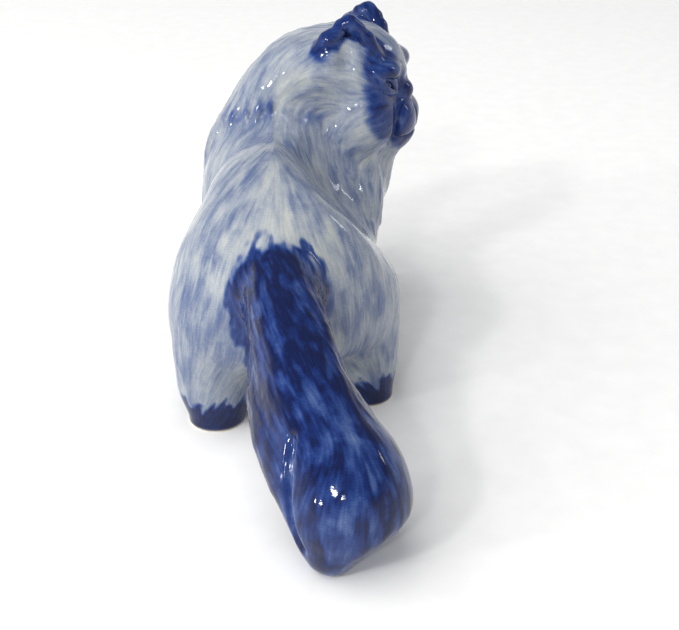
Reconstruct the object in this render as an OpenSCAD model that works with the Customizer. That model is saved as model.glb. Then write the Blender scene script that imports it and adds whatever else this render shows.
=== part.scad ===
// Blue-and-white glazed porcelain cat: nine slip-cast pieces bonded with layers of slip.
// The cat stands facing -Y with its head turned towards its own right side (-X).
// Millimetres, +Z up. The origin is the middle of the footprint, on the table.

/* [Torso] */
// Full width across the haunches
hip_w = 46; // [43:0.5:48]
// Height of the back above the table
back_h = 50; // [48:0.5:52]
// Distance from the rump to the middle of the collar joint
torso_len = 65; // [62:0.5:68]
// Thickness of the cast wall
wall = 3; // [2:0.5:3.5]
// Height of the floor of the hollow above the table
cavity_floor = 20; // [19:0.5:22]
// Diameter of the firing vent under the belly
vent_d = 3; // [2:0.5:4]

/* [Head] */
// Full width of the ruff, across the cat
ruff_w = 42; // [40:0.5:44]
// Height of the crown of the head above the table
crown_h = 67; // [65:0.5:68]
// How far the middle of the head sits towards the cat's right side
head_shift = 11; // [9:0.5:13]
// Angle from straight ahead round to where the face looks
face_turn = 103; // [95:1:110]
// Distance from the middle of the head to the front of the muzzle
muzzle_reach = 18; // [16:0.5:19]
// Height of the muzzle, from its top to the chin
muzzle_h = 13; // [11:0.5:14]

/* [Ears] */
// Height of an ear above its seat
ear_h = 9; // [7.5:0.5:11]
// Width of an ear across its base
ear_w = 12; // [10:0.5:13]
// Thickness of an ear at its base
ear_t = 8; // [6:0.5:9]
// Diameter of the spigot under an ear
ear_spigot_d = 4; // [3.5:0.5:4.5]

/* [Legs] */
// Width of a hind paw
hind_paw_w = 11.5; // [10.5:0.5:13]
// Width of a front paw
fore_paw_w = 11; // [10:0.5:12]
// Length of a paw from heel to toes
paw_len = 17; // [15:0.5:18]
// Height of the leg joints above the table
leg_joint_h = 15; // [14:0.5:16]
// How far the right hind foot stands ahead of the left one
stride = 9.5; // [6:0.5:11]

/* [Tail] */
// Diameter of the tail where it leaves the rump
tail_root_d = 15; // [14:0.5:16]
// Diameter of the tail at its bushy end
tail_bulb_d = 20.5; // [18:0.5:22]

/* [Joints] */
// Thickness of the layer of slip that bonds two pieces
slip_t = 0.6; // [0.4:0.1:0.8]
// Gap around a spigot in its socket
socket_gap = 0.15; // [0.1:0.05:0.3]

/* [Hidden] */

// Glaze and clay colours
pale_glaze = [0.70, 0.74, 0.80];
cobalt_glaze = [0.16, 0.24, 0.50];
bare_clay = [0.90, 0.88, 0.84];

// Points round a section, and sections along one stretch between two stations
ring_n = 36;
steps = 3;
$fn = 48;

// The middle of the footprint, measured from the left heel on the middle plane of the body
middle = [-2.5, -18.3, 0];

// How far a cutter runs past the face that it cuts
over = 1;

// ---- a skin swept along rows [x, y, z, half_w, up, down, lean, turn, square] ----
// A section is an ellipse of half width half_w that reaches up above its middle and
// down below it. It leans back by lean and is turned about the vertical by turn, and
// its lower half is squarer than an ellipse as square falls below 1.

function pick(list, i) = list[max(0, min(len(list) - 1, i))];
function reverse(list) = [for (i = [len(list) - 1:-1:0]) list[i]];

// Catmull-Rom curve through four neighbouring rows, t from 0 to 1 between b and c
function curve(a, b, c, d, t) =
    0.5 * (2 * b + (c - a) * t + (2 * a - 5 * b + 4 * c - d) * t * t
        + (3 * b - a - 3 * c + d) * t * t * t);

function refine(rows) = concat(
    [for (i = [0:len(rows) - 2], s = [0:steps - 1])
        curve(pick(rows, i - 1), rows[i], rows[i + 1], pick(rows, i + 2), s / steps)],
    [rows[len(rows) - 1]]);

// Rows that round off a sweep beyond its end row, outermost first
function round_end(row, dir, reach) =
    [for (a = [80:-20:20]) let (c = cos(a), p = dir * reach * sin(a))
        [row[0] + p.x, row[1] + p.y, row[2] + p.z,
            row[3] * c, row[4] * c, row[5] * c, row[6], row[7], row[8]]];

function lean(v, a) = [v.x, v.y * cos(a) + v.z * sin(a), v.z * cos(a) - v.y * sin(a)];
function turn(v, a) = [v.x * cos(a) - v.y * sin(a), v.x * sin(a) + v.y * cos(a), v.z];

function section(row) =
    [for (k = [0:ring_n - 1]) let (a = 360 * k / ring_n, c = cos(a), s = sin(a))
        s >= 0 ? [row[3] * c, 0, row[4] * s]
            : [row[3] * sign(c) * pow(abs(c), row[8]), 0, -row[5] * pow(-s, row[8])]];

function ring(row) =
    [for (p = section(row)) turn(lean(p, row[6]), row[7]) + [row[0], row[1], row[2]]];

// Closed skin over a stack of rings, stacked the way that an upright section faces (-Y)
module skin(rows) {
    n = ring_n;
    points = [for (row = rows) each ring(row)];
    last = (len(rows) - 1) * n;
    sides = [for (r = [0:len(rows) - 2], k = [0:n - 1])
        let (a = r * n + k, b = r * n + (k + 1) % n) [a, a + n, b + n, b]];
    polyhedron(points, concat([[for (k = [0:n - 1]) k]], sides,
        [[for (k = [n - 1:-1:0]) last + k]]), convexity = 6);
}

// The same rows moved inwards by the wall, with no hollow below the floor height
function inside(rows, floor_z = -100) =
    [for (r = rows) [r[0], r[1], r[2], r[3] - wall, r[4] - wall,
        min(r[5] - wall, (r[2] - floor_z) / cos(r[6])), r[6], r[7], r[8]]];

// ---- joints: a seat is [centre, lean, turn], and a piece leaves it along its own +Z ----

module at_seat(seat) {
    translate(seat[0]) rotate([0, 0, seat[2]]) rotate([seat[1], 0, 0]) children();
}

// Room for a round end and its layer of slip, cut into the piece that carries the seat
module socket(seat, d, depth) {
    at_seat(seat) translate([0, 0, -slip_t]) cylinder(d = d + 2 * socket_gap, h = depth);
}

module slip_layer(seat, d, hole = 0) {
    color(bare_clay) at_seat(seat) translate([0, 0, -slip_t]) difference() {
        cylinder(d = d, h = slip_t);
        if (hole > 0) translate([0, 0, -over]) cylinder(d = hole, h = slip_t + 2 * over);
    }
}

// ---- torso ----

// Rows from rump to collar: share of the length, sway to the left, half width as a share
// of the hips', top as a share of the back's height, heights of the widest level and of
// the underside, lean and squareness
torso_plan = [
    [0.00, 0.8, 0.64, 0.80, 22, 13, 0, 0.75],
    [0.08, 0.8, 0.88, 0.91, 21, 11.5, 0, 0.75],
    [0.20, 0.8, 0.99, 0.985, 20, 11, 0, 0.75],
    [0.36, 0.6, 0.99, 1.03, 21, 11.5, 0, 0.75],
    [0.56, 0.3, 0.93, 0.98, 24, 12.5, 0, 0.8],
    [0.76, 0.0, 0.91, 0.955, 27, 13, 10, 0.85],
    [0.90, 0.0, 0.905, 0.955, 30, 14, 25, 0.9],
    [1.00, 0.0, 0.90, 0.955, 33, 19.5, 40, 0.9]];

torso_start_y = -2.5;

function torso_row(p) = let (level = p[4])
    [p[1], torso_start_y - p[0] * torso_len, level, p[2] * hip_w / 2,
        (p[3] * back_h - level) / cos(p[6]), (level - p[5]) / cos(p[6]), p[6], 0, p[7]];

torso_rows = refine([for (p = torso_plan) torso_row(p)]);
torso_tip = round_end(torso_rows[0], [0, 1, 0], 5.5);

module torso_shell() {
    hollow = inside([for (i = [1:len(torso_rows) - 1]) torso_rows[i]], cavity_floor);
    color(pale_glaze) translate(-middle) difference() {
        skin(concat(torso_tip, torso_rows, reverse(hollow)));
        socket(tail_seat, tail_root_d, 2 * tail_root_d);
        at_seat(tail_seat) translate([0, 0, -4 * wall]) cylinder(d = tail_bore_d, h = 5 * wall);
        for (leg = legs) socket(leg_seat(leg), leg[3], 4 * leg_joint_h);
        translate([0, torso_start_y - torso_len / 2, 0])
            cylinder(d = vent_d, h = cavity_floor + over);
    }
}

// ---- head and ruff ----

// Rows from collar to crown: share of the height between them, share of the shift
// towards the face, distance ahead of the collar, half width as a share of the ruff's,
// reach behind and ahead of the middle, lean and squareness
head_plan = [
    [0.00, 0.00, 0.0, 1.00, 19.9, 18.2, 40, 0.9],
    [0.16, 0.14, 0.5, 1.00, 18.8, 18.8, 52, 0.9],
    [0.38, 0.41, -1.0, 0.94, 16.2, 18.0, 68, 0.95],
    [0.60, 0.66, -2.5, 0.87, 14.8, 16.5, 80, 1],
    [0.80, 0.86, -3.5, 0.69, 12.4, 13.4, 88, 1],
    [0.93, 1.00, -3.5, 0.43, 8.3, 8.7, 90, 1]];

collar = torso_rows[len(torso_rows) - 1];
collar_mid = [collar[0], collar[1], collar[2]];
collar_lean = collar[6];
collar_out = [0, -cos(collar_lean), sin(collar_lean)];

function head_row(p) = let (z = collar_mid.z + p[0] * (crown_h - collar_mid.z))
    [-p[1] * head_shift, collar_mid.y - p[2], z, p[3] * ruff_w / 2, p[4], p[5], p[6], 0, p[7]];

head_rows = refine([for (p = head_plan) head_row(p)]);
head_top = head_rows[len(head_rows) - 1];
head_outside = concat(head_rows, reverse(round_end(head_top, [0, 0, 1], crown_h - head_top[2])));

// The middle of the skull, where the face, the muzzle and the ears are measured from
skull = [-head_shift, collar_mid.y + 3, crown_h - 15.5];

// The head sits on the collar's layer of slip
module on_collar() {
    translate(-middle) translate(collar_out * slip_t) children();
}

// Muzzle: a short sweep from inside the head out to the flat face
module muzzle() {
    half = muzzle_h / 2;
    rise = -6;
    front = [0, -muzzle_reach + 4, rise, half, half * 0.8, half, 0, 0, 1];
    back = [0, -muzzle_reach / 2, rise, half, half, half, 0, 0, 1];
    translate(skull) rotate([0, 0, -face_turn])
        skin(concat([back, front], reverse(round_end(front, [0, -1, 0], 4))));
}

module head_shell() {
    // The hollow stops short of the crown by three sections
    hollow = inside([for (i = [0:len(head_rows) - 4]) head_rows[i]]);
    color(pale_glaze) on_collar() difference() {
        union() {
            skin(concat(reverse(hollow), head_outside));
            muzzle();
        }
        for (side = [-1, 1]) socket(ear_seat(side), ear_spigot_d, ear_h);
    }
}

module collar_slip_joint() {
    edge = 0.5;
    outside = [0, 0, 0, collar[3] - edge, collar[4] - edge, collar[5] - edge, 0, 0, collar[8]];
    color(bare_clay) translate(-middle) translate(collar_mid)
        rotate([90 - collar_lean, 0, 0]) linear_extrude(slip_t) difference() {
            polygon([for (p = section(outside)) [p.x, p.z]]);
            polygon([for (p = section(inside([collar])[0])) [p.x, p.z]]);
        }
}

// ---- ears: side 1 is the cat's left, side -1 its right ----

function ear_seat(side) =
    [skull + turn([side * 8.6, -2.2, 9.5], -face_turn), 12, side * 20 - face_turn];

module ear(side) {
    half_w = ear_w / 2;
    half_t = ear_t / 2;
    sink = 1;
    rows = refine([
        [0, 0, -sink, half_w, half_t, half_t, 90, 0, 1],
        [0, 0, 0.35 * ear_h, 0.9 * half_w, 0.84 * half_t, 0.84 * half_t, 90, 0, 1],
        [0, 0, 0.7 * ear_h, 0.54 * half_w, 0.6 * half_t, 0.6 * half_t, 90, 0, 1]]);
    tip = round_end(rows[len(rows) - 1], [0, 0, 1], 0.3 * ear_h);
    color(cobalt_glaze) on_collar() {
        difference() {
            at_seat(ear_seat(side)) skin(concat(rows, reverse(tip)));
            skin(head_outside);
        }
        at_seat(ear_seat(side)) cylinder(d = ear_spigot_d, h = ear_h / 2);
    }
}

module ear_slip_joint(side) {
    on_collar() slip_layer(ear_seat(side), ear_spigot_d);
}

module left_ear() { ear(1); }
module right_ear() { ear(-1); }
module left_ear_slip_joint() { ear_slip_joint(1); }
module right_ear_slip_joint() { ear_slip_joint(-1); }

// ---- tail ----

// Rows from the seat on the rump to the bushy end: x, y, z and share of the bulb's width
root_share = tail_root_d / tail_bulb_d;
tail_plan = [
    [0.5, -4.5, 33.6, root_share],
    [-0.9, 4, 31, root_share],
    [-3.3, 13, 26.5, 0.82],
    [-6.7, 22, 20.5, 0.94],
    [-10, 30.5, 14.3, 1],
    [-12.4, 38, 9.7, 0.98]];
tail_end = len(tail_plan) - 1;

function tail_step(i) = let (d = pick(tail_plan, i + 1) - pick(tail_plan, i - 1))
    [d[0], d[1], d[2]] / norm([d[0], d[1], d[2]]);

function tail_row(i) = let (p = tail_plan[i], d = tail_step(i), r = p[3] * tail_bulb_d / 2)
    [p[0], p[1], p[2], r, r, r, asin(-d.z), atan2(-d.x, d.y), 1];

tail_rows = refine([for (i = [0:tail_end]) tail_row(i)]);
tail_root = tail_rows[0];
tail_seat = [[tail_root[0], tail_root[1], tail_root[2]], -90 - tail_root[6], tail_root[7]];
tail_bore_d = tail_root_d - 2 * wall;

module tail() {
    // The hollow stops three sections before the bushy end
    hollow = inside([for (i = [0:len(tail_rows) - 4]) tail_rows[i]]);
    color(cobalt_glaze) translate(-middle)
        skin(concat(round_end(tail_rows[len(tail_rows) - 1], tail_step(tail_end), 9),
            reverse(tail_rows), hollow));
}

module tail_slip_joint() {
    translate(-middle) slip_layer(tail_seat, tail_root_d, tail_bore_d);
}

// ---- legs: [x, y of the heel, paw width, diameter of the joint, x of the joint] ----

left_hind = [13.8, 0, hind_paw_w, 14.5, 14.3];
right_hind = [-16.5, -stride, hind_paw_w, 14, -16];
left_fore = [12.5, -56, fore_paw_w, 13, 12];
right_fore = [-13, -50, fore_paw_w, 13, -13];
legs = [left_hind, right_hind, left_fore, right_fore];

function leg_seat(leg) = [[leg[4], leg[1] - leg[3] / 2 - 1, leg_joint_h], 180, 0];

module leg(plan) {
    x = plan[0];
    heel = plan[1];
    toe_r = plan[2] / 2;
    seat = leg_seat(plan)[0];
    thigh_h = leg_joint_h / 2;
    color(cobalt_glaze) translate(-middle) {
        translate([seat.x, seat.y, thigh_h]) cylinder(d = plan[3], h = leg_joint_h - thigh_h);
        intersection() {
            hull() {
                translate([seat.x, seat.y, thigh_h]) cylinder(d = plan[3], h = 1, $fn = 32);
                translate([x, heel - toe_r, 2]) sphere(toe_r, $fn = 32);
                translate([x, heel - paw_len + toe_r, 1]) sphere(toe_r, $fn = 32);
            }
            translate([x, heel, back_h]) cube(2 * back_h, center = true);
        }
    }
}

module leg_slip_joint(plan) {
    translate(-middle) slip_layer(leg_seat(plan), plan[3]);
}

module left_foreleg() { leg(left_fore); }
module right_foreleg() { leg(right_fore); }
module left_hindleg() { leg(left_hind); }
module right_hindleg() { leg(right_hind); }
module left_foreleg_slip_joint() { leg_slip_joint(left_fore); }
module right_foreleg_slip_joint() { leg_slip_joint(right_fore); }
module left_hindleg_slip_joint() { leg_slip_joint(left_hind); }
module right_hindleg_slip_joint() { leg_slip_joint(right_hind); }

torso_shell();
head_shell();
left_ear();
right_ear();
tail();
left_foreleg();
right_foreleg();
left_hindleg();
right_hindleg();
collar_slip_joint();
tail_slip_joint();
left_ear_slip_joint();
right_ear_slip_joint();
left_foreleg_slip_joint();
right_foreleg_slip_joint();
left_hindleg_slip_joint();
right_hindleg_slip_joint();
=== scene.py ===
"""A blue-and-white glazed porcelain cat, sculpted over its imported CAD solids.

The CAD solids are the armature. Their union is turned into a block of signed distances
(the "clay"), rounded where pieces meet, given a face, ears, toes and fur by adding and
carving simple shapes, and cut back into the nine cast pieces. Strokes of fur follow one
flow field, which drives both the relief and the painting. The clay is in millimetres.
"""

import math

import bmesh
import bpy
import numpy as np
import openvdb as vdb
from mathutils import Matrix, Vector


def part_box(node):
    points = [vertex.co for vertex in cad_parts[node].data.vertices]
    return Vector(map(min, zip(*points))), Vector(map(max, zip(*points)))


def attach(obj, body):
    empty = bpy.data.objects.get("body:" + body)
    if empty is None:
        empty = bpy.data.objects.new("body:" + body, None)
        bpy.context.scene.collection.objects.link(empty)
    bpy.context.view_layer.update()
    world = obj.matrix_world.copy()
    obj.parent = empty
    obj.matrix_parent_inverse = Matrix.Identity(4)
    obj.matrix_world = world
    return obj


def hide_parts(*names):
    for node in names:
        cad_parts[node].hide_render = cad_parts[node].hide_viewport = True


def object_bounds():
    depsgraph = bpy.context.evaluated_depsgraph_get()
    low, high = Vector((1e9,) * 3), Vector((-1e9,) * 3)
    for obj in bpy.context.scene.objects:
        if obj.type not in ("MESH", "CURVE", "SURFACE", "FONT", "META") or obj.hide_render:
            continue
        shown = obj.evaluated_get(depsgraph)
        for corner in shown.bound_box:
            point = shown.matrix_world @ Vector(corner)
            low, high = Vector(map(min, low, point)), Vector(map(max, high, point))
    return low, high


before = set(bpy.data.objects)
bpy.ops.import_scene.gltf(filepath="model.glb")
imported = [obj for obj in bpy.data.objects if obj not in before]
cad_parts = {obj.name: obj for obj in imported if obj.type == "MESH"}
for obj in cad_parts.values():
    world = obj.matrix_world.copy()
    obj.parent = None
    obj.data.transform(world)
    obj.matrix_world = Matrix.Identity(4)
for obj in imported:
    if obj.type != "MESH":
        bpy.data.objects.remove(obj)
cad_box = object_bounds()

MM = 1000.0
VOXEL = 0.35
CLOSING = 3.0  # radius that fills the creases where two pieces meet
MARGIN = 3.5  # empty space kept round the clay
DEPTH = 9.0  # how deep under the surface the distances stay true
UP = np.array([0.0, 0.0, 1.0])


# ---- where things are, from the frame ----

def node_box(name):
    low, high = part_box(name)
    return np.array(low) * MM, np.array(high) * MM


def node_middle(name):
    low, high = node_box(name)
    return (low + high) / 2


def unit(v):
    return np.asarray(v, float) / np.linalg.norm(v)


BOX_LOW, BOX_HIGH = (np.array(corner) * MM for corner in cad_box)
TORSO_LOW, TORSO_HIGH = node_box("torso_shell")

# The head's own axes, from the two ear joints: left, forward and up, from the skull's middle
EAR_SEATS = {side: node_middle(side + "_ear_slip_joint") for side in ("left", "right")}
HEAD_LEFT = unit((EAR_SEATS["left"] - EAR_SEATS["right"]) * [1, 1, 0])
FACE = np.cross(HEAD_LEFT, UP)
EARS_AHEAD, EARS_ABOVE = 2.2, 9.8  # of the skull's middle
SKULL = (EAR_SEATS["left"] + EAR_SEATS["right"]) / 2 - EARS_AHEAD * FACE - EARS_ABOVE * UP
COLLAR = node_middle("collar_slip_joint")
COLLAR_TILT = math.radians(40)
COLLAR_OUT = unit([0, -math.cos(COLLAR_TILT), math.sin(COLLAR_TILT)])
TAIL_SEAT = node_middle("tail_slip_joint")
LEG_NODES = ["left_foreleg", "right_foreleg", "left_hindleg", "right_hindleg"]
LEG_SEATS = {leg: node_middle(leg + "_slip_joint") for leg in LEG_NODES}


def on_head(forward, left, up):
    """A point given along the head's own axes, in millimetres from the skull's middle."""
    return SKULL + forward * FACE + left * HEAD_LEFT + up * UP


def node_points(name):
    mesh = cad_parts[name].data
    points = np.empty(len(mesh.vertices) * 3, np.float32)
    mesh.vertices.foreach_get("co", points)
    return points.reshape(-1, 3) * MM


def tail_spine(count=14):
    """Middles and half widths of slices through the CAD tail, from the rump to its end."""
    points = node_points("tail")
    low, high = points[:, 1].min(), points[:, 1].max()
    cuts = np.linspace(low + 5.0, high - 6.0, count + 1)
    rows = []
    for near, far in zip(cuts[:-1], cuts[1:]):
        inside = points[(points[:, 1] >= near - 1.0) & (points[:, 1] <= far + 1.0)]
        middle = (inside.min(0) + inside.max(0)) / 2
        rows.append([*middle, (inside[:, 0].max() - inside[:, 0].min()) / 2])
    return np.array(rows)


TAIL = tail_spine()


# ---- camera ----

def make_camera():
    """Behind the cat and above it, a hand's reach away."""
    data = bpy.data.cameras.new("camera")
    data.sensor_width = 36.0
    wide, tilt = math.radians(33.33), math.radians(27.4)
    data.lens = data.sensor_width / 2 / math.tan(wide / 2)
    camera = bpy.data.objects.new("camera", data)
    bpy.context.scene.collection.objects.link(camera)
    behind, above, aside = 142.7, 125.0, -8.5
    camera.location = np.array([aside, BOX_HIGH[1] + behind, above]) / MM
    camera.rotation_euler = [math.pi / 2 - tilt, 0, math.pi]
    data.clip_start, data.clip_end = 0.01, 10.0
    bpy.context.scene.camera = camera


make_camera()


# ---- the clay: a block of signed distances, negative inside ----

def level_set(points, quads=None, triangles=None, outside=1.5, inside=1.5):
    return vdb.FloatGrid.createLevelSetFromPolygons(
        points.astype(np.float32), triangles=triangles, quads=quads,
        transform=vdb.createLinearTransform(voxelSize=VOXEL),
        exBandWidth=outside / VOXEL, inBandWidth=inside / VOXEL)


def outline(grid, level=0.0):
    """The surface at that level as points and quads."""
    points, _, quads = grid.convertToPolygons(isovalue=level, adaptivity=0.0)
    return points, quads


def frame_soup():
    """Every CAD solid's triangles in one list, but for the ears, which are modelled afresh."""
    points, triangles, start = [], [], 0
    for name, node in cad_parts.items():
        if name.endswith("_ear"):
            continue
        mesh = node.data
        mesh.calc_loop_triangles()
        corners = np.empty(len(mesh.loop_triangles) * 3, np.int32)
        mesh.loop_triangles.foreach_get("vertices", corners)
        points.append(node_points(name))
        triangles.append(corners.reshape(-1, 3) + start)
        start += len(mesh.vertices)
    return np.concatenate(points), np.concatenate(triangles).astype(np.uint32)


def blur(field, millimetres):
    sigma = millimetres / VOXEL
    reach = int(math.ceil(2.5 * sigma))
    offsets = np.arange(-reach, reach + 1)
    weights = np.exp(-0.5 * (offsets / sigma) ** 2).astype(np.float32)
    weights /= weights.sum()
    for axis in range(3):
        width = [(reach, reach) if a == axis else (0, 0) for a in range(3)]
        padded = np.moveaxis(np.pad(field, width, mode="edge"), axis, 0)
        count = field.shape[axis]
        total = np.zeros_like(padded[:count])
        for k, weight in enumerate(weights):
            total += weight * padded[k:k + count]
        field = np.moveaxis(total, 0, axis)
    return np.ascontiguousarray(field)


def smooth_step(low, high, value):
    t = np.clip((value - low) / (high - low), 0.0, 1.0)
    return t * t * (3 - 2 * t)


def blend_min(a, b, soft):
    h = np.clip(0.5 + 0.5 * (b - a) / soft, 0, 1)
    return b * (1 - h) + a * h - soft * h * (1 - h)


def local(p, centre, axes):
    return [sum((p[i] - centre[i]) * axis[i] for i in range(3)) for axis in axes]


def egg(centre, radii, axes=np.eye(3)):
    """Distance to an ellipsoid with its half lengths along the three axes."""
    def distance(p):
        q = local(p, centre, axes)
        k0 = np.sqrt(sum((q[i] / radii[i]) ** 2 for i in range(3)))
        k1 = np.sqrt(sum((q[i] / radii[i] ** 2) ** 2 for i in range(3)))
        return k0 * (k0 - 1) / np.maximum(k1, 1e-6)
    distance.centre, distance.reach = np.asarray(centre, float), float(max(radii))
    return distance


def roll(points, radii):
    """Distance to a roll of clay along a few points, with a radius at each."""
    points = [np.asarray(point, float) for point in points]

    def distance(p):
        best = None
        for a, b, ra, rb in zip(points[:-1], points[1:], radii[:-1], radii[1:]):
            along = b - a
            length2 = float(along @ along)
            t = np.clip(sum((p[i] - a[i]) * along[i] for i in range(3)) / length2, 0, 1)
            gap = np.sqrt(sum((p[i] - a[i] - t * along[i]) ** 2 for i in range(3)))
            gap = gap - (ra + (rb - ra) * t)
            best = gap if best is None else np.minimum(best, gap)
        return best
    distance.centre = (np.min(points, 0) + np.max(points, 0)) / 2
    distance.reach = float(np.max(np.max(points, 0) - distance.centre)) + max(radii)
    return distance


class Clay:
    def __init__(self, grid, offset):
        self.low = np.floor((BOX_LOW - MARGIN) / VOXEL).astype(int)
        high = np.ceil((BOX_HIGH + MARGIN) / VOXEL).astype(int)
        self.field = np.empty(high - self.low, np.float32)
        grid.copyToArray(self.field, ijk=tuple(int(i) for i in self.low))
        self.field += offset

    def axes(self, window=(slice(None),) * 3):
        """X, Y and Z of the block's cells, or of a window of it."""
        out = []
        for i in range(3):
            line = (np.arange(self.field.shape[i]) + self.low[i])[window[i]] * VOXEL
            out.append(line.astype(np.float32).reshape([-1 if i == j else 1 for j in range(3)]))
        return out

    def window(self, centre, reach):
        at = (np.asarray(centre) / VOXEL) - self.low
        r = reach / VOXEL
        return tuple(slice(max(0, int(at[i] - r)), max(1, int(at[i] + r) + 2)) for i in range(3))

    def add(self, shape, soft=1.0):
        w = self.window(shape.centre, shape.reach + 2 * soft + 2)
        self.field[w] = blend_min(self.field[w], shape(self.axes(w)), soft)

    def carve(self, shape, soft=1.0):
        w = self.window(shape.centre, shape.reach + 2 * soft + 2)
        self.field[w] = -blend_min(-self.field[w], shape(self.axes(w)), soft)

    def melt(self, centre, reach, millimetres):
        """Rounds the clay off near a point."""
        w = self.window(centre, reach)
        gap = np.sqrt(sum((axis - c) ** 2 for axis, c in zip(self.axes(w), centre)))
        keep = smooth_step(0.6 * reach, reach, gap)
        self.field[w] = self.field[w] * keep + blur(self.field[w], millimetres) * (1 - keep)

    def normals(self, points):
        """Which way the surface faces, at scattered points."""
        at = np.rint(points / VOXEL).astype(int) - self.low
        reach = 2
        at = np.clip(at, reach, np.array(self.field.shape) - 1 - reach)
        slope = np.empty(points.shape, np.float32)
        for i in range(3):
            step = np.zeros(3, int)
            step[i] = reach
            ahead, behind = (at + step).T, (at - step).T
            slope[:, i] = self.field[tuple(ahead)] - self.field[tuple(behind)]
        return slope / np.maximum(np.linalg.norm(slope, axis=1, keepdims=True), 1e-6)


def armature():
    """The union of the CAD solids with its hollows filled and its creases closed."""
    points, triangles = frame_soup()
    grown = outline(level_set(points, triangles=triangles, outside=CLOSING + 1), CLOSING)
    rim = 0.3  # the outside only, because everything inside a closed surface is negative
    shell = outline(level_set(*grown), rim)
    return Clay(level_set(*shell, outside=MARGIN, inside=DEPTH + CLOSING), CLOSING + rim)


# ---- sculpting ----

def extend_feet(clay):
    """Carries the feet on below the table, so that rounding leaves the soles' edges crisp."""
    _, y, height = (axis.ravel() for axis in clay.axes())
    sole_height = 1.5
    ankle = int(np.argmin(np.abs(height - sole_height)))
    body = y < TAIL[3, 1]
    clay.field[:, body, :ankle] = clay.field[:, body, ankle:ankle + 1]


def flatten_soles(clay):
    clay.field = np.maximum(clay.field, -clay.axes()[2])


def soften(clay):
    """Rounds the body more than the feet and the ears."""
    soft, crisp = blur(clay.field, 1.7), blur(clay.field, 0.7)
    z = clay.axes()[2]
    feet = 1 - smooth_step(4.0, 10.0, z)
    ears = smooth_step(8.0, 12.0, z - SKULL[2])
    keep = np.maximum(feet, ears)
    clay.field = soft * (1 - keep) + crisp * keep


def sculpt_face(clay):
    axes = [FACE, HEAD_LEFT, UP]
    add, carve = clay.add, clay.carve
    carve(egg(on_head(-5.0, 0, 43.2), (30, 30, 30)), 4.0)
    add(roll([on_head(10.0, 0, 8.6), on_head(12.4, 0, 4.6), on_head(13.4, 0, 1.0)], [3.0, 2.4, 2.2]), 2.5)
    add(roll([on_head(11.6, 0, -9), on_head(9.4, 0, -14.5), on_head(6.5, 0, -20)], [3.6, 3.4, 5.5]), 3.0)
    for side in (-1, 1):
        add(egg(on_head(10.4, side * 5.6, 6.6), (4.2, 4.6, 2.5), axes), 2.0)
        add(egg(on_head(8.2, side * 8.7, -4.0), (5.0, 4.8, 6.2), axes), 6.0)
        add(egg(on_head(13.3, side * 3.0, -4.6), (4.0, 3.8, 3.4), axes), 1.4)
        carve(roll([on_head(15.0, side * 4.8, 1.6), on_head(15.1, side * 7.2, -3.6),
                    on_head(13.1, side * 6.6, -9)], [0.7, 1.0, 0.7]), 1.4)
        sculpt_eye(clay, side)
        carve(roll([on_head(17.4, 0, -7.6), on_head(16.4, side * 2.6, -8.6),
                    on_head(14.1, side * 5.6, -7.6)], [0.45, 0.45, 0.4]), 0.5)
    add(egg(on_head(15.1, 0, 0.9), (1.5, 1.9, 1.5), axes), 1.0)
    carve(egg(on_head(16.5, 0, 4.0), (1.7, 2.6, 1.2), axes), 0.9)
    carve(roll([on_head(17.3, 0, -2.4), on_head(17.5, 0, -7.4)], [0.4, 0.4]), 0.5)
    add(egg(on_head(13.0, 0, -9.4), (2.7, 3.6, 2.4), axes), 1.4)


LID = 1.35  # half the opening of an eye


def eye_frame(side):
    """The middle of an eye, and its axes: out of the face, along the slit, and across it."""
    outer, inner = on_head(11.2, side * 9.2, 5.6), on_head(13.4, side * 4.4, 1.8)
    slit = unit(outer - inner)
    out = unit(FACE + 0.4 * side * HEAD_LEFT)
    out = unit(out - (out @ slit) * slit)
    return (outer + inner) / 2, [out, slit, np.cross(out, slit)]


def sculpt_eye(clay, side):
    """A slanted almond of lids round a smooth eyeball."""
    middle, axes = eye_frame(side)
    out, slit, across = axes
    clay.carve(egg(middle + 1.5 * out, (2.4, 3.4, 1.6), axes), 0.7)
    clay.add(egg(middle - 3.3 * out, (3.6, 3.6, 3.0), axes), 0.2)
    for lid in (-1, 1):
        arc = []
        for t in np.linspace(-1, 1, 7):
            bulge = 1.0 - t * t
            arc.append(middle + 3.6 * t * slit + lid * LID * bulge * across + 0.5 * bulge * out)
        clay.add(roll(arc, [0.4, 0.5, 0.55, 0.6, 0.55, 0.5, 0.4]), 0.5)


# How far each ear is moved forward and up from one pattern, and how far its tip leans forward
EAR_SET = {1: (-1.2, -0.7, 1.7), -1: (0.0, 0.0, 0.0)}


def ear_cone(side):
    """The rolls that make an ear: its rear edge, its back, its front edge and its crest."""
    ahead, higher, lean = EAR_SET[side]

    def at(forward, left, up):
        leant = lean * min(1.0, max(0.0, (up - 8.0) / 8.0))
        return on_head(forward + ahead + leant, side * left, up + higher)
    tip = at(4.2, 8.3, 17.1)
    rear = roll([at(-2.4, 11.2, 7.0), at(0.0, 10.7, 13.7), tip], [2.3, 1.6, 0.8])
    back = roll([at(3.2, 7.0, 8.0), at(4.0, 7.4, 13.4), tip], [2.8, 1.6, 0.8])
    front = roll([at(9.0, 7.1, 8.8), at(7.8, 7.3, 13.8), tip], [2.1, 1.3, 0.8])
    crest = roll([at(2.2, 8.9, 16.6), tip, at(6.2, 8.0, 16.0)], [0.8, 0.9, 0.8])
    return [rear, back, front, crest]


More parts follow.
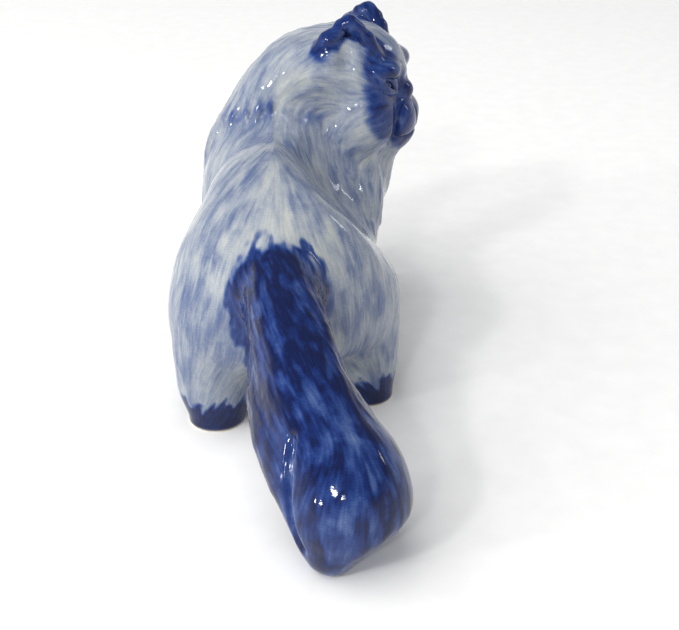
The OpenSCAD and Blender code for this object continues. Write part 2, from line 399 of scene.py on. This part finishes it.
def sculpt_ears(clay):
    for side in (1, -1):
        clay.add(egg(EAR_SEATS["left" if side > 0 else "right"], (4.5, 4.5, 4.0)), 2.0)
        for cone in ear_cone(side):
            clay.add(cone, 1.2)
        pocket = [(4.6, 13.2, 9.6), (4.6, 12.2, 12.4), (4.4, 11.0, 14.4)]
        pocket = [on_head(forward, side * left, up) for forward, left, up in pocket]
        clay.carve(roll(pocket, [2.6, 2.2, 1.2]), 1.8)


def sculpt_feet(clay):
    toes = 4
    for leg in LEG_NODES:
        low, high = node_box(leg)
        half = (high[0] - low[0]) / 2
        middle = (low[0] + high[0]) / 2
        for i in range(toes):
            across = (i - (toes - 1) / 2) / ((toes - 1) / 2)
            x = middle + across * half * 0.62
            y = low[1] + 2.6 + 1.6 * across ** 2
            clay.add(egg([x, y, 2.3], (1.9, 3.0, 2.6)), 0.9)
        for i in range(toes - 1):
            across = (i - (toes - 2) / 2) / ((toes - 1) / 2)
            x = middle + across * half * 0.62
            gap = [[x, low[1] - 1.0, 1.0], [x, low[1] + 0.4, 3.6], [x, low[1] + 3.4, 5.2]]
            clay.carve(roll(gap, [0.5, 0.5, 0.2]), 0.7)


def sculpt_haunches(clay):
    """Fills each hind leg out from the haunch to the hock, as thick fur does."""
    for leg, side, thick in (("left_hindleg", 1, 8.6), ("right_hindleg", -1, 7.6)):
        low, high = node_box(leg)
        x, heel = (low[0] + high[0]) / 2, high[1]
        hip = [x - side * 0.5, heel - 9.5, 21.0]
        hock = [x + side * 0.3, heel - 6.8, 9.0]
        clay.add(roll([hip, hock], [thick, 0.7 * thick]), 4.0)


def sculpt_back(clay):
    """The waist, pinched in on the side that the cat turns to, and the vent under the belly."""
    middle = (TORSO_LOW + TORSO_HIGH) / 2
    waist_y = TORSO_LOW[1] + 0.43 * (TORSO_HIGH[1] - TORSO_LOW[1])
    ring = [(27.4, 22.0), (23.2, 39.0), (15.0, 50.0), (3.0, 54.4), (-7.0, 50.6), (-13.5, 41.8),
            (-20.0, 36.0), (-25.0, 29.0)]
    clay.carve(roll([[middle[0] + x, waist_y, z] for x, z in ring], [7.5] + [8.0] * 6 + [7.5]), 5.0)
    hips = [(-13.3, 53.6, 12.0), (-19.5, 45.7, 12.0), (-27.6, 38.4, 12.0)]
    hips += [(24.5, 48.6, 10.0), (27.2, 40.4, 10.0), (32.3, 32.8, 10.0)]
    for x, z, radius in hips:
        behind = [middle[0] + x, middle[1] + 16.6, z + 3.3]
        ahead = [middle[0] + x, middle[1] + 0.6, z - 3.3]
        clay.carve(roll([behind, ahead], [radius, radius]), 5.0)
    clay.carve(roll([[middle[0], middle[1], 6.0], [middle[0], middle[1], 18.0]], [1.5, 1.5]), 0.4)


PARTING = roll(TAIL[-1, :3] + [[8.6, -6.0, 10.6], [8.9, -4.8, 8.8], [9.2, -2.5, 5.5],
                               [9.2, 0.0, 1.3], [8.4, 1.8, -1.8], [7.0, 3.0, -5.0]],
               [0.3, 0.5, 0.7, 0.7, 0.6, 0.3])


def sculpt_tail(clay):
    """A narrower stem, and two locks at the end: one down the left side, and the tip over it."""
    end = TAIL[-1, :3]
    stem = [end + [-0.2, -34.0, 16.7], end + [-4.3, -25.0, 15.3], end + [-13.0, -17.0, 16.8]]
    clay.carve(roll(stem, [5.2, 6.0, 10.0]), 4.0)
    left_lock = [end + [12.3, -30.0, 11.3], end + [11.7, -22.0, 8.8], end + [10.1, -14.0, 5.3],
                 end + [7.7, -7.0, 1.8], end + [4.5, -1.0, -2.7]]
    clay.add(roll(left_lock, [5.5, 6.0, 6.0, 5.5, 4.5]), 1.5)
    clay.add(egg(end + [-1.7, -4.5, 1.4], (9.0, 9.6, 10.9)), 4.0)
    clay.add(egg(end + [2.4, -0.5, -7.2], (4.5, 5.4, 4.5)), 3.0)
    clay.carve(roll([end + [-9.9, -6, -11.3], end + [-9.9, 9, -11.3]], [8.0, 8.0]), 4.0)
    clay.melt(end + [-3.0, -10.0, 11.5], 15.0, 1.8)
    clay.carve(PARTING, 1.4)


def sculpt():
    clay = armature()
    sculpt_haunches(clay)
    extend_feet(clay)
    soften(clay)
    sculpt_back(clay)
    sculpt_tail(clay)
    sculpt_face(clay)
    sculpt_ears(clay)
    sculpt_feet(clay)
    flatten_soles(clay)
    return clay


def clay_surface(clay):
    """Points and quads of the clay's surface."""
    far = 3 * VOXEL
    grid = vdb.FloatGrid(far)
    grid.transform = vdb.createLinearTransform(voxelSize=VOXEL)
    grid.copyFromArray(np.clip(clay.field, -far, far), ijk=tuple(int(i) for i in clay.low))
    return outline(grid)


# ---- the fur: which way it lies, and strokes along it ----

def mane_side(p):
    """How far inside the mane a point is, outside it negative, in millimetres.

    Seen from behind, the mane's lower edge is an arch over the shoulders.
    """
    aside = 2.2
    x = p[:, 0] - (TORSO_LOW[0] + TORSO_HIGH[0]) / 2 - aside
    steep = np.where(x > 0, 0.034, 0.047)
    arch = TORSO_HIGH[2] - 2.4 - steep * x ** 2
    behind = (p[:, 2] - arch) / np.sqrt(1 + (2 * steep * x) ** 2)
    before = COLLAR[1] + 4.0 - p[:, 1]
    reach, far_outside = 24.0, -20.0
    return np.where(p[:, 1] > COLLAR[1] + reach, far_outside, np.maximum(behind, before))


def nearest_on_tail(p):
    """The tail's own axis at each point: its direction, the offset from it, and its radius."""
    k = np.clip(np.searchsorted(TAIL[:, 1], p[:, 1]), 1, len(TAIL) - 1)
    a, b = TAIL[k - 1], TAIL[k]
    along = (b - a)[:, :3]
    t = ((p - a[:, :3]) * along).sum(1) / (along ** 2).sum(1)
    lowest = np.where(k == 1, -1.0, 0.0)
    t = np.clip(t, lowest, 1.0)[:, None]
    offset = p - a[:, :3] - t * along
    radius = a[:, 3] + t[:, 0] * (b - a)[:, 3]
    return along / np.linalg.norm(along, axis=1, keepdims=True), offset, radius


def on_tail(p):
    """1 on the tail, 0 on the body, and between them round the tail's root."""
    _, offset, radius = nearest_on_tail(p)
    gap = np.linalg.norm(offset, axis=1) - radius
    return (1 - smooth_step(0.5, 3.0, gap)) * smooth_step(TAIL[0, 1] - 2, TAIL[0, 1] + 3, p[:, 1])


def flow(p, normal):
    """The direction that the fur lies in, along the surface."""
    middle_x = (TORSO_LOW[0] + TORSO_HIGH[0]) / 2
    aside = np.tanh((p[:, 0] - middle_x) / 8.0)
    down = np.stack([0.45 * aside, np.full(len(p), 0.5), np.full(len(p), -0.85)], 1)
    from_face = p - on_head(15.0, 0, -1.0)
    distance = np.linalg.norm(from_face, axis=1, keepdims=True)
    radial = from_face / np.maximum(distance, 1e-3)
    fall = smooth_step(14.0, 34.0, distance)
    head = radial * (1 - 0.35 * fall) + np.array([0, 0.15, -0.9]) * fall
    w = smooth_step(-2.0, 5.0, mane_side(p))[:, None] * smooth_step(12.0, 20.0, p[:, 2])[:, None]
    way = down * (1 - w) + head * w
    along, offset, _ = nearest_on_tail(p)
    swirl = np.cross(along, offset) / 10.0
    gather = smooth_step(TAIL[-3, 1], TAIL[-1, 1] + 3.0, p[:, 1])[:, None]
    along = along * (1 - gather) + np.array([0.15, 0.1, -1.0]) * gather
    w = on_tail(p)[:, None]
    way = way * (1 - w) + (along - 0.16 * swirl) * w
    way = way - (way * normal).sum(1, keepdims=True) * normal
    return way / np.maximum(np.linalg.norm(way, axis=1, keepdims=True), 1e-3)


class Speckle:
    """Seeded smooth noise that fills the whole block, with cells of one size."""
    def __init__(self, cell, seed):
        self.cell = cell
        self.low = BOX_LOW - 8
        shape = np.ceil((BOX_HIGH - BOX_LOW + 16) / cell).astype(int) + 3
        self.lattice = np.random.default_rng(seed).standard_normal(shape).astype(np.float32)

    def __call__(self, p):
        at = (p - self.low) / self.cell
        whole = np.clip(at.astype(int), 0, np.array(self.lattice.shape) - 2)
        part = (at - whole).astype(np.float32)
        part = part * part * (3 - 2 * part)
        i, j, k = whole.T
        u, v, w = part.T
        value = 0.0
        for di, wi in ((0, 1 - u), (1, u)):
            for dj, wj in ((0, 1 - v), (1, v)):
                for dk, wk in ((0, 1 - w), (1, w)):
                    value = value + wi * wj * wk * self.lattice[i + di, j + dj, k + dk]
        return value


# Strokes: the size of the speckle across a stroke, and how far a stroke reaches each way
STROKES = {"wash": (3.0, 4.0), "brush": (1.2, 3.0), "hair": (0.55, 2.5)}
STEP = 0.5


def comb(clay, points):
    """Speckle averaged along the fur both ways from each point, one value per kind of stroke."""
    noises = {name: Speckle(cell, seed) for seed, (name, (cell, _)) in enumerate(STROKES.items())}
    totals = {name: np.zeros(len(points), np.float32) for name in STROKES}
    for way in (1, -1):
        at = points.copy()
        for k in range(int(max(reach for _, reach in STROKES.values()) / STEP)):
            gone = k * STEP
            for name, (_, reach) in STROKES.items():
                if gone <= reach:
                    totals[name] += (1 - gone / (reach + STEP)) * noises[name](at)
            at = at + way * STEP * flow(at, clay.normals(at))
    return {name: 1.8 * np.tanh(value / value.std() / 1.8) for name, value in totals.items()}


# ---- painting: how much cobalt lies on each point, from 0, bare, to 1, dark ----

def head_place(p):
    q = p - SKULL
    return q @ FACE, q @ HEAD_LEFT, q[:, 2]


def ear_paint(p, stroke):
    """Dark ears, painted lower behind than over the pale opening."""
    forward, left, up = head_place(p)
    away = np.min([cone(p.T) for side in (1, -1) for cone in ear_cone(side)], axis=0)
    ear = 1 - smooth_step(0.2, 1.7, away + 0.4 * stroke)
    ear *= smooth_step(-4.3, -2.7, forward + 0.3 * stroke)
    opening = smooth_step(8.0, 9.0, np.abs(left))
    over = 10.2 + 3.0 * smooth_step(1.0, 4.5, forward)
    lowest = 8.0 * (1 - opening) + over * opening
    return ear * smooth_step(-0.9, 0.9, up - lowest + 0.6 * stroke)


def face_paint(p, stroke):
    """The dark mask over the brows, cheeks and muzzle, with a pale stripe down the forehead."""
    forward, left, up = head_place(p)
    edge = 7.8 + 0.6 * stroke + 0.9 * (1 - smooth_step(2.0, 8.0, up)) + 0.45 * np.maximum(-up, 0)
    mask = smooth_step(-1.2, 1.2, forward - edge)
    jaw = np.maximum(-7.4 - 0.8 * (14 - np.abs(left)), -13.6)
    mask *= smooth_step(-1.2, 1.2, up - jaw + 1.0 * stroke) * (np.abs(left) < 18)
    stripe_half = 0.2 + 0.33 * np.maximum(up - 2, 0) + 0.3 * stroke
    stripe = (1 - smooth_step(-0.4, 1.2, np.abs(left) - stripe_half)) * smooth_step(2.0, 7.0, up)
    return mask * (1 - 0.85 * stripe)


def root_paint(p, stroke):
    """The dark patch round the root of the tail: its shape, and the pale halo above it."""
    x, z = p[:, 0] - TAIL_SEAT[0] + 0.2, p[:, 2] - 31.0
    low = z < 0
    across = np.where(low, x / np.where(x > 0, 9.6, 8.4), x / 9.4)
    rise = np.where(low, z / 17.0, z / 9.8)
    away = np.sqrt(across ** 2 + rise ** 2) + 0.10 * stroke
    behind = smooth_step(5.0, 9.0, p[:, 1])
    patch = (1 - smooth_step(0.92, 1.08, away)) * behind
    halo = smooth_step(0.98, 1.12, away) * (1 - smooth_step(1.2, 1.6, away)) * behind
    return patch, halo * smooth_step(-3.0, 3.0, z)


def paint_eyes(p, ink):
    """Dark eyeballs inside paler lids."""
    for side in (-1, 1):
        middle, (out, slit, across) = eye_frame(side)
        q = p - middle
        u, v, w = q @ slit / 3.7, q @ across / LID, q @ out
        away = np.abs(v) - (1 - u * u)
        near = (np.abs(u) < 1.15) & (np.abs(w) < 3.0)
        ball = near * (1 - smooth_step(-0.45, -0.2, away))
        lid = near * np.exp(-((away - 0.1) / 0.3) ** 2)
        ink = ink * (1 - ball) + 0.95 * ball
        ink = ink - 0.06 * lid
    return ink


def paint(p, strokes):
    wash, brush, hair = strokes["wash"], strokes["brush"], strokes["hair"]
    ink = 0.36 + 0.055 * wash + 0.05 * brush + 0.03 * hair
    m = mane_side(p)
    mane = smooth_step(-1.0, 1.5, m + 0.9 * brush) * smooth_step(10.0, 16.0, p[:, 2])
    fringe = np.exp(-((m - 0.9 - 0.7 * brush) / 1.4) ** 2) * smooth_step(24.0, 32.0, p[:, 2])
    fringe *= smooth_step(COLLAR[1] + 5, COLLAR[1] + 10, p[:, 1])
    fringe *= 0.55 + 0.45 * smooth_step(-6.0, 6.0, p[:, 0])
    ink += fringe * (0.18 + 0.07 * brush + 0.05 * wash) - 0.04 * mane
    patch, halo = root_paint(p, brush)
    ink -= halo * (0.16 + 0.05 * brush)
    tail = on_tail(p)
    dark = 0.95 + 0.05 * wash + 0.10 * brush + 0.05 * hair
    tip = smooth_step(TAIL[9, 1], TAIL[-1, 1], p[:, 1])
    ink = ink * (1 - patch) + (dark - 0.08) * patch
    ink = ink * (1 - tail) + (dark - 0.07 * tip) * tail
    ink -= 0.16 * np.exp(-(PARTING((p + [1.2, -0.3, -0.3]).T) / 0.9) ** 2)
    mask = face_paint(p, brush)
    ink = ink * (1 - mask) + (0.86 + 0.06 * brush + 0.06 * hair) * mask
    ear = ear_paint(p, brush)
    ink = ink * (1 - ear) + (0.90 + 0.05 * brush + 0.04 * hair) * ear
    sock = 1 - smooth_step(4.6, 6.4, p[:, 2] + 1.1 * brush + 0.4 * hair)
    body = p[:, 1] < TAIL[2, 1]
    sock = sock * body
    ink = ink * (1 - sock) + (0.99 + 0.06 * brush) * sock
    ink = paint_eyes(p, ink)
    return np.clip(ink, 0, 1), np.clip(mane, 0, 1), tail


def relief(p, strokes, mane, tail):
    """How far fur stands out from the clay, in millimetres."""
    forward, _, up = head_place(p)
    face = smooth_step(8.0, 11.0, forward) * smooth_step(-15.0, -12.0, up)
    feet = 1 - smooth_step(3.0, 9.0, p[:, 2])
    tip = smooth_step(TAIL[7, 1], TAIL[-1, 1], p[:, 1])
    depth = 0.05 + 0.04 * mane + (0.05 - 0.07 * tip) * tail
    depth = depth * (1 - 0.75 * face) * (1 - 0.8 * feet * (1 - tail))
    strand = 0.8 * strokes["brush"] + 0.3 * strokes["hair"]
    return depth * np.clip(strand, -1.8, 1.8) + 0.55 * mane


# ---- cutting the sculpt into its cast pieces ----

def leg_region(name):
    seat = LEG_SEATS[name]
    low, high = node_box(name)
    x = (low[0] + high[0]) / 2
    shape = roll([seat, [x, high[1] - 6, 3.0], [x, low[1] + 5, 3.0]], [9.0, 8.0, 8.0])
    return lambda p: np.maximum(shape(p.T), p[:, 2] - seat[2])


def ear_region(side):
    cones = ear_cone(side)
    return lambda p: np.maximum(np.min([cone(p.T) for cone in cones], axis=0) - 0.5,
                                on_head(0, 0, 9.0)[2] - p[:, 2])


def tail_region(p):
    _, offset, radius = nearest_on_tail(p)
    way = unit(TAIL[1, :3] - TAIL[0, :3])
    beyond = (p - TAIL[0, :3] - way) @ way
    return np.maximum(np.linalg.norm(offset, axis=1) - radius - 1.6, -beyond)


def head_region(p):
    return -(p - COLLAR) @ COLLAR_OUT


# Each region is negative inside its piece, and what is left over is the torso
REGIONS = {"left_ear": ear_region(1), "right_ear": ear_region(-1), "tail": tail_region}
REGIONS.update({leg: leg_region(leg) for leg in LEG_NODES})
REGIONS["head_shell"] = head_region


def divide(points, quads, normals):
    """The piece that each quad belongs to, with the cut edges drawn straight."""
    middles = points[quads].mean(1)
    owner = np.full(len(quads), "torso_shell", dtype=object)
    free = np.ones(len(quads), bool)
    for name, region in REGIONS.items():
        mine = free & (region(middles) < 0)
        owner[mine] = name
        free &= ~mine
        corners = np.unique(quads[mine])
        rest = np.zeros(len(points), bool)
        rest[quads[free]] = True
        edge = corners[rest[corners]]
        if len(edge):
            points[edge] += pull_to_cut(points[edge], normals[edge], region)
    return owner


def pull_to_cut(p, normal, region):
    """The move along the surface that brings points onto a region's border."""
    value, tiny = region(p), 0.05
    slope = np.stack([(region(p + tiny * axis) - value) / tiny for axis in np.eye(3)], 1)
    slope -= (slope * normal).sum(1, keepdims=True) * normal
    steep = np.maximum((slope ** 2).sum(1, keepdims=True), 0.1)
    move = -value[:, None] * slope / steep
    length = np.linalg.norm(move, axis=1, keepdims=True)
    return move * np.minimum(1, 0.5 * VOXEL / np.maximum(length, 1e-6))


def vertex_normals(points, quads):
    a, b, c, d = (points[quads[:, i]] for i in range(4))
    face = np.cross(c - a, d - b)
    out = np.zeros_like(points)
    for i in range(4):
        for axis in range(3):
            out[:, axis] += np.bincount(quads[:, i], face[:, axis], len(points))
    return out / np.maximum(np.linalg.norm(out, axis=1, keepdims=True), 1e-9)


def close_cuts(mesh):
    """Shuts a piece's cut ends with a shallow cone of faces, so that it is one closed skin."""
    bm = bmesh.new()
    bm.from_mesh(mesh)
    rim = [edge for edge in bm.edges if edge.is_boundary]
    made = bmesh.ops.holes_fill(bm, edges=rim)["faces"]
    bmesh.ops.poke(bm, faces=made)
    bm.normal_update()
    bm.to_mesh(mesh)
    bm.free()


def make_piece(name, points, quads, normals, layers, material):
    used, local_quads = np.unique(quads, return_inverse=True)
    mesh = bpy.data.meshes.new(name + "_glazed")
    mesh.from_pydata((points[used] / MM).tolist(), [], local_quads.reshape(-1, 4).tolist())
    for layer, values in layers.items():
        kind = "FLOAT_VECTOR" if values.ndim > 1 else "FLOAT"
        attribute = mesh.attributes.new(layer, kind, "POINT")
        field = "vector" if values.ndim > 1 else "value"
        attribute.data.foreach_set(field, values[used].astype(np.float32).ravel())
    close_cuts(mesh)
    mesh.shade_smooth()
    facing = np.array([v.normal for v in mesh.vertices], np.float32)
    facing[:len(used)] = normals[used]
    mesh.normals_split_custom_set_from_vertices(facing.tolist())
    mesh.materials.append(material)
    piece = bpy.data.objects.new(name + "_glazed", mesh)
    bpy.context.scene.collection.objects.link(piece)
    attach(piece, "root")
    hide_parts(name)


# ---- materials ----

def colour(r, g, b):
    """A colour given as a screen would show it, from 0 to 255."""
    linear = [c / 255 / 12.92 if c < 10 else ((c / 255 + 0.055) / 1.055) ** 2.4 for c in (r, g, b)]
    return (*linear, 1.0)


class Nodes:
    """A material's node tree, with short ways to add and link nodes."""
    def __init__(self, name):
        self.material = bpy.data.materials.new(name)
        self.material.use_nodes = True
        self.tree = self.material.node_tree
        self.surface = self.tree.nodes["Principled BSDF"]

    def add(self, kind, inputs=(), **settings):
        node = self.tree.nodes.new(kind)
        for key, value in settings.items():
            setattr(node, key, value)
        for key, value in dict(inputs).items():
            if isinstance(value, bpy.types.NodeSocket):
                self.tree.links.new(value, node.inputs[key])
            else:
                node.inputs[key].default_value = value
        return node

    def maths(self, operation, a, b=0.0, c=0.0):
        node = self.add("ShaderNodeMath", {0: a, 1: b, 2: c}, operation=operation)
        return node.outputs[0]

    def link(self, value, socket):
        self.tree.links.new(value, self.surface.inputs[socket])

    def attribute(self, name, output="Fac"):
        return self.add("ShaderNodeAttribute", attribute_name=name).outputs[output]

    def noise(self, size, where=None, detail=2.0):
        """Noise with features of that many millimetres."""
        where = where or self.add("ShaderNodeTexCoord").outputs["Object"]
        node = self.add("ShaderNodeTexNoise", {"Vector": where, "Scale": MM / size, "Detail": detail})
        return node.outputs["Fac"]

    def strokes(self, size, reach, taps=5):
        """Noise averaged along the fur, for hairs finer than the mesh."""
        place = self.add("ShaderNodeTexCoord").outputs["Object"]
        way = self.attribute("flow", "Vector")
        total = 0.0
        for k in range(taps):
            gone = (k / (taps - 1) - 0.5) * 2 * reach / MM
            step = self.add("ShaderNodeVectorMath", {0: way, "Scale": gone}, operation="SCALE")
            at = self.add("ShaderNodeVectorMath", {0: place, 1: step.outputs[0]}, operation="ADD")
            total = self.maths("ADD", self.noise(size, at.outputs[0], 0.0), total)
        return self.maths("DIVIDE", total, float(taps))

    def ramp(self, value, stops):
        node = self.add("ShaderNodeValToRGB", {"Fac": value})
        elements = node.color_ramp.elements
        elements[0].position, elements[0].color = stops[0]
        elements[1].position, elements[1].color = stops[-1]
        for position, tint in stops[1:-1]:
            elements.new(position).color = tint
        return node.outputs["Color"]


INK = [(0.0, colour(192, 190, 176)), (0.16, colour(168, 171, 170)), (0.30, colour(142, 149, 160)),
       (0.45, colour(106, 117, 142)), (0.62, colour(66, 86, 132)), (0.78, colour(33, 56, 112)),
       (0.90, colour(16, 37, 91)), (1.0, colour(9, 21, 62))]


def glaze(name):
    """Cobalt brushed on under a clear glaze, over fine combed hair, with bare soles."""
    nodes = Nodes(name)
    hairs = nodes.strokes(0.45, 1.0)
    ink = nodes.maths("MULTIPLY_ADD", nodes.maths("SUBTRACT", hairs, 0.5), 0.45, nodes.attribute("ink"))
    mottle = nodes.maths("SUBTRACT", nodes.noise(1.6), 0.5)
    ink = nodes.maths("MULTIPLY_ADD", mottle, 0.06, ink)
    sole = nodes.attribute("sole")
    tint = nodes.ramp(ink, INK)
    mixed = nodes.add("ShaderNodeMix", {0: sole, 6: tint, 7: colour(222, 214, 200)}, data_type="RGBA")
    nodes.link(mixed.outputs[2], "Base Color")
    rough = nodes.maths("MULTIPLY_ADD", nodes.noise(4.0), 0.05, 0.05)
    nodes.link(nodes.maths("MAXIMUM", rough, nodes.maths("MULTIPLY", sole, 0.75)), "Roughness")
    height = nodes.maths("MULTIPLY_ADD", nodes.noise(5.0), 1.2, hairs)
    bump = nodes.add("ShaderNodeBump", {"Height": height, "Strength": 1.0, "Distance": 0.025 / MM})
    nodes.link(bump.outputs["Normal"], "Normal")
    nodes.surface.inputs["IOR"].default_value = 1.43
    return nodes.material


def bare_clay():
    """Dried slip: fine speckle, no shine."""
    nodes = Nodes("bare_clay")
    cream = [(0.3, colour(214, 207, 194)), (0.7, colour(236, 231, 221))]
    tint = nodes.ramp(nodes.noise(0.8, detail=4.0), cream)
    nodes.link(tint, "Base Color")
    nodes.link(nodes.maths("MULTIPLY_ADD", nodes.noise(0.5), 0.15, 0.75), "Roughness")
    bump = nodes.add("ShaderNodeBump", {"Height": nodes.noise(0.3), "Distance": 0.05 / MM})
    nodes.link(bump.outputs["Normal"], "Normal")
    return nodes.material


def floor_paper():
    """Plain matt paper, faintly mottled."""
    nodes = Nodes("floor_paper")
    paper = [(0.3, colour(244, 243, 240)), (0.7, colour(248, 247, 244))]
    tint = nodes.ramp(nodes.noise(6.0, detail=3.0), paper)
    nodes.link(tint, "Base Color")
    nodes.link(nodes.maths("MULTIPLY_ADD", nodes.noise(9.0), 0.15, 0.65), "Roughness")
    bump = nodes.add("ShaderNodeBump", {"Height": nodes.noise(1.5), "Distance": 0.008 / MM})
    nodes.link(bump.outputs["Normal"], "Normal")
    return nodes.material


# ---- the cat ----

SLOTS = {"torso_shell": "pale_glaze", "head_shell": "pale_glaze"}
SLOTS.update({name: "cobalt_glaze" for name in ["left_ear", "right_ear", "tail"] + LEG_NODES})


def make_cat():
    clay = sculpt()
    points, quads = clay_surface(clay)
    points = points.astype(float)
    normals = vertex_normals(points, quads)
    strokes = comb(clay, points)
    ink, mane, tail = paint(points, strokes)
    raised = relief(points, strokes, mane, tail)
    sole = (1 - smooth_step(0.25, 0.6, points[:, 2])) * (points[:, 1] < TAIL[4, 1])
    way = flow(points, normals)
    points = points + normals * (raised * smooth_step(0.3, 2.0, points[:, 2]))[:, None]
    owner = divide(points, quads, normals)
    normals = vertex_normals(points, quads)
    layers = {"ink": ink, "sole": sole, "flow": way}
    materials = {slot: glaze(slot) for slot in sorted(set(SLOTS.values()))}
    for name, slot in SLOTS.items():
        make_piece(name, points, quads[owner == name], normals, layers, materials[slot])
    slip = bare_clay()
    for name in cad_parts:
        if name.endswith("_slip_joint"):
            make_slip_joint(name, clay, slip)


def make_slip_joint(name, clay, material):
    """A joint's layer of slip, scraped back a little way inside the sculpted clay."""
    points = node_points(name)
    for _ in range(3):
        at = np.clip(np.rint(points / VOXEL).astype(int) - clay.low, 0, np.array(clay.field.shape) - 1)
        depth = clay.field[tuple(at.T)]
        points = points - clay.normals(points) * np.maximum(depth + 1.0, 0)[:, None]
    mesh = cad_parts[name].data.copy()
    mesh.vertices.foreach_set("co", (points / MM).astype(np.float32).ravel())
    mesh.materials.clear()
    mesh.materials.append(material)
    piece = bpy.data.objects.new(name + "_clay", mesh)
    bpy.context.scene.collection.objects.link(piece)
    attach(piece, "root")
    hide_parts(name)


# ---- floor and light ----

def make_floor():
    mesh = bpy.data.meshes.new("floor")
    side = 4.0
    corners = [(-side, -side, 0), (side, -side, 0), (side, side, 0), (-side, side, 0)]
    mesh.from_pydata(corners, [], [(0, 1, 2, 3)])
    mesh.materials.append(floor_paper())
    floor = bpy.data.objects.new("floor", mesh)
    bpy.context.scene.collection.objects.link(floor)


def aim(light_object, target=(0, 0, 0.03)):
    light_object.rotation_mode = "QUATERNION"
    away = Vector(target) - light_object.location
    light_object.rotation_quaternion = away.to_track_quat("-Z", "Y")


def make_lamp(name, direction, distance, size, power, shine=True):
    """An area lamp in that direction from the cat, turned to face it."""
    data = bpy.data.lights.new(name, "AREA")
    data.shape = "RECTANGLE"
    data.size, data.size_y = size
    data.energy = power
    lamp = bpy.data.objects.new(name, data)
    bpy.context.scene.collection.objects.link(lamp)
    lamp.location = Vector(unit(direction) * distance)
    aim(lamp)
    lamp.visible_glossy = shine


def make_world():
    """White walls that fall off to a dimmer ceiling."""
    world = bpy.data.worlds.new("world")
    world.use_nodes = True
    tree = world.node_tree
    direction = tree.nodes.new("ShaderNodeTexCoord").outputs["Generated"]
    split = tree.nodes.new("ShaderNodeSeparateXYZ")
    tree.links.new(direction, split.inputs[0])
    ramp = tree.nodes.new("ShaderNodeValToRGB")
    tree.links.new(split.outputs["Z"], ramp.inputs["Fac"])
    wall, ceiling = ramp.color_ramp.elements
    wall.position, wall.color = 0.05, (0.97, 0.98, 1.0, 1)
    ceiling.position, ceiling.color = 0.50, (0.28, 0.29, 0.31, 1)
    tree.links.new(ramp.outputs["Color"], tree.nodes["Background"].inputs["Color"])
    bpy.context.scene.world = world


def make_lights():
    make_world()
    make_lamp("key", (0.50, 0.10, 0.86), 1.5, (2.4, 2.4), 28.0, shine=False)
    make_lamp("lamp_1", (0.85, 0.45, 0.28), 1.2, (0.11, 0.05), 2.6)
    make_lamp("lamp_2", (0.51, 0.63, 0.59), 1.2, (0.13, 0.07), 3.0)
    make_lamp("lamp_3", (0.23, 0.82, 0.53), 1.2, (0.10, 0.05), 2.2)
    make_lamp("window", (-0.76, -0.27, 0.55), 1.5, (0.16, 0.36), 1.3)
    bpy.context.scene.view_settings.view_transform = "Standard"


make_cat()
make_floor()
make_lights()
